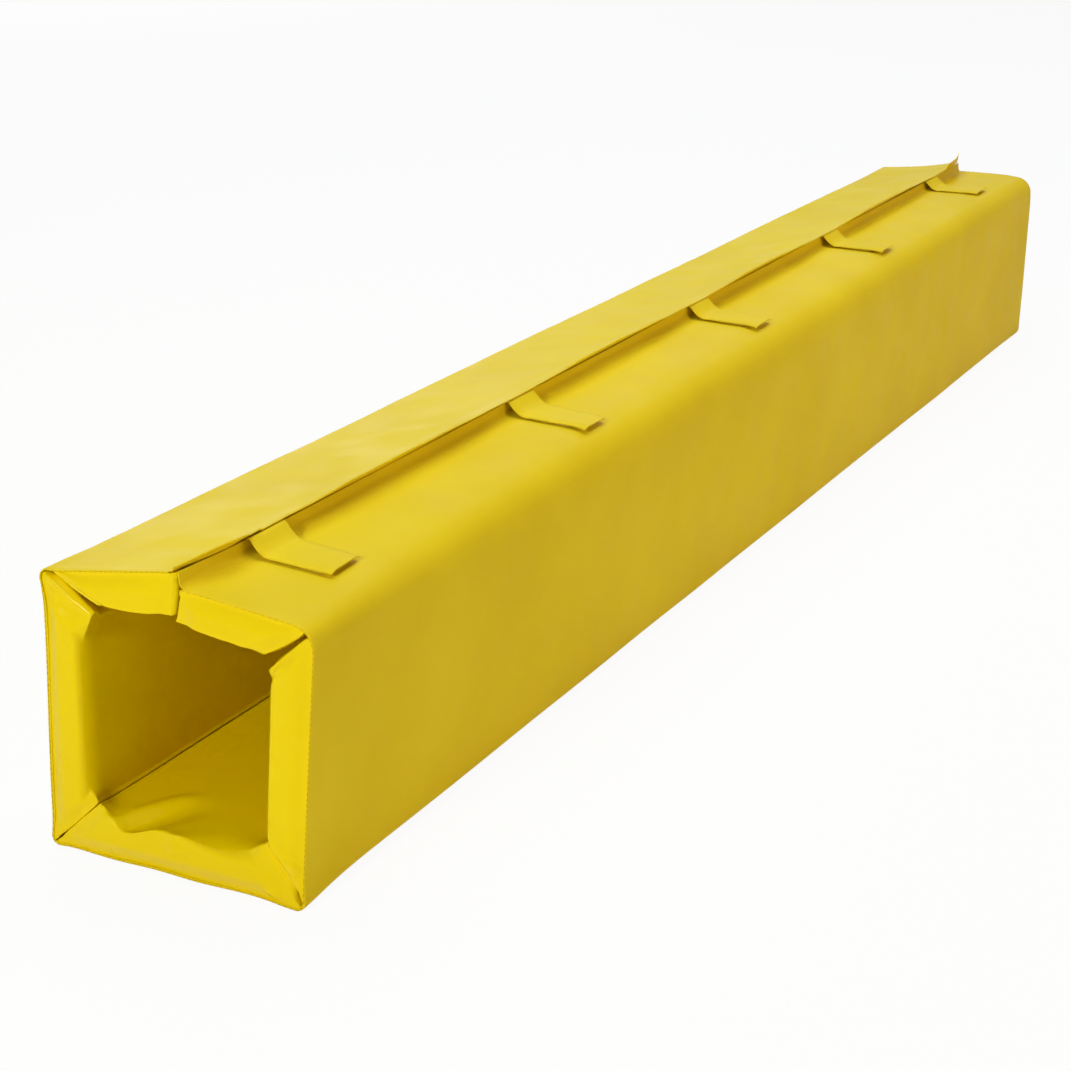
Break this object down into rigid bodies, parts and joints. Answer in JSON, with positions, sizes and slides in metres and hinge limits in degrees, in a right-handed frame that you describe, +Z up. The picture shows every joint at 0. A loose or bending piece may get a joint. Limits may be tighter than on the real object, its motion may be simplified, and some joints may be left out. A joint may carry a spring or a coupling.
{
  "type": "column pad",
  "caption": "Padded vinyl sleeve that folds round a square column: foam panels hinged at the long corners, closed along one face by a lip and hook-and-loop straps.",
  "frame": {"origin": "middle of the bottom panel's outer face, on the surface that the pad lies on", "axes": "+Y along the pad, away from the end that the picture shows; +Z up from the bottom panel to the closing seam; +X across, towards the straps' free ends"},
  "size_m": [0.2511, 2, 0.266],
  "materials": {
    "outer_vinyl": "satin",
    "cover_vinyl": "gloss",
    "strap_vinyl": "satin",
    "foam": "matte",
    "hook_tape": "matte",
    "loop_tape": "matte"
  },
  "bodies": {
    "bottom_panel": {"bottom_skin": "outer_vinyl", "bottom_cover": "cover_vinyl", "bottom_foam": "foam", "fold_bottom_left": "outer_vinyl", "fold_bottom_right": "outer_vinyl"},
    "left_panel": {"left_skin": "outer_vinyl", "left_cover": "cover_vinyl", "left_foam": "foam", "fold_top_left": "outer_vinyl"},
    "right_panel": {"right_skin": "outer_vinyl", "right_cover": "cover_vinyl", "right_foam": "foam", "fold_top_right": "outer_vinyl"},
    "top_left_panel": {"top_left_skin": "outer_vinyl", "top_left_cover": "cover_vinyl", "top_left_foam": "foam", "closure_lip": "outer_vinyl"},
    "top_right_panel": {"top_right_skin": "outer_vinyl", "top_right_cover": "cover_vinyl", "top_right_foam": "foam", "underlap_flap": "outer_vinyl", "loop_patch_1": "loop_tape", "loop_patch_2": "loop_tape", "loop_patch_3": "loop_tape", "loop_patch_4": "loop_tape", "loop_patch_5": "loop_tape"},
    "closing_strap_1": {"strap_1": "strap_vinyl", "hook_patch_1": "hook_tape"},
    "closing_strap_2": {"strap_2": "strap_vinyl", "hook_patch_2": "hook_tape"},
    "closing_strap_3": {"strap_3": "strap_vinyl", "hook_patch_3": "hook_tape"},
    "closing_strap_4": {"strap_4": "strap_vinyl", "hook_patch_4": "hook_tape"},
    "closing_strap_5": {"strap_5": "strap_vinyl", "hook_patch_5": "hook_tape"}
  },
  "joints": [
    {"name": "left_wall_fold", "type": "hinge", "parent": "bottom_panel", "child": "left_panel", "pos_m": [-0.11614, 0, 0.00386], "axis": [0, -1, 0], "range_deg": [0, 91.4], "deforming": ["fold_bottom_left"]},
    {"name": "top_left_fold", "type": "hinge", "parent": "left_panel", "child": "top_left_panel", "pos_m": [-0.11046, 0, 0.23607], "axis": [0, -1, 0], "range_deg": [0, 79.6], "deforming": ["fold_top_left", "closure_lip"]},
    {"name": "right_wall_fold", "type": "hinge", "parent": "bottom_panel", "child": "right_panel", "pos_m": [0.11614, 0, 0.00386], "axis": [0, 1, 0], "range_deg": [0, 87], "deforming": ["fold_bottom_right"]},
    {"name": "top_right_fold", "type": "hinge", "parent": "right_panel", "child": "top_right_panel", "pos_m": [0.12829, 0, 0.23582], "axis": [0, 1, 0], "range_deg": [0, 89.5], "deforming": ["fold_top_right", "underlap_flap"]},
    {"name": "strap_1_peel", "type": "hinge", "parent": "top_left_panel", "child": "closing_strap_1", "pos_m": [0.0298, -0.88, 0.25425], "axis": [0, -1, 0], "range_deg": [0, 120], "deforming": ["strap_1", "hook_patch_1"]},
    {"name": "strap_2_peel", "type": "hinge", "parent": "top_left_panel", "child": "closing_strap_2", "pos_m": [0.0298, -0.45, 0.25425], "axis": [0, -1, 0], "range_deg": [0, 120], "deforming": ["strap_2", "hook_patch_2"]},
    {"name": "strap_3_peel", "type": "hinge", "parent": "top_left_panel", "child": "closing_strap_3", "pos_m": [0.0298, -0.02, 0.25425], "axis": [0, -1, 0], "range_deg": [0, 120], "deforming": ["strap_3", "hook_patch_3"]},
    {"name": "strap_4_peel", "type": "hinge", "parent": "top_left_panel", "child": "closing_strap_4", "pos_m": [0.0298, 0.41, 0.25425], "axis": [0, -1, 0], "range_deg": [0, 120], "deforming": ["strap_4", "hook_patch_4"]},
    {"name": "strap_5_peel", "type": "hinge", "parent": "top_left_panel", "child": "closing_strap_5", "pos_m": [0.0298, 0.84, 0.25425], "axis": [0, -1, 0], "range_deg": [0, 120], "deforming": ["strap_5", "hook_patch_5"]}
  ]
}
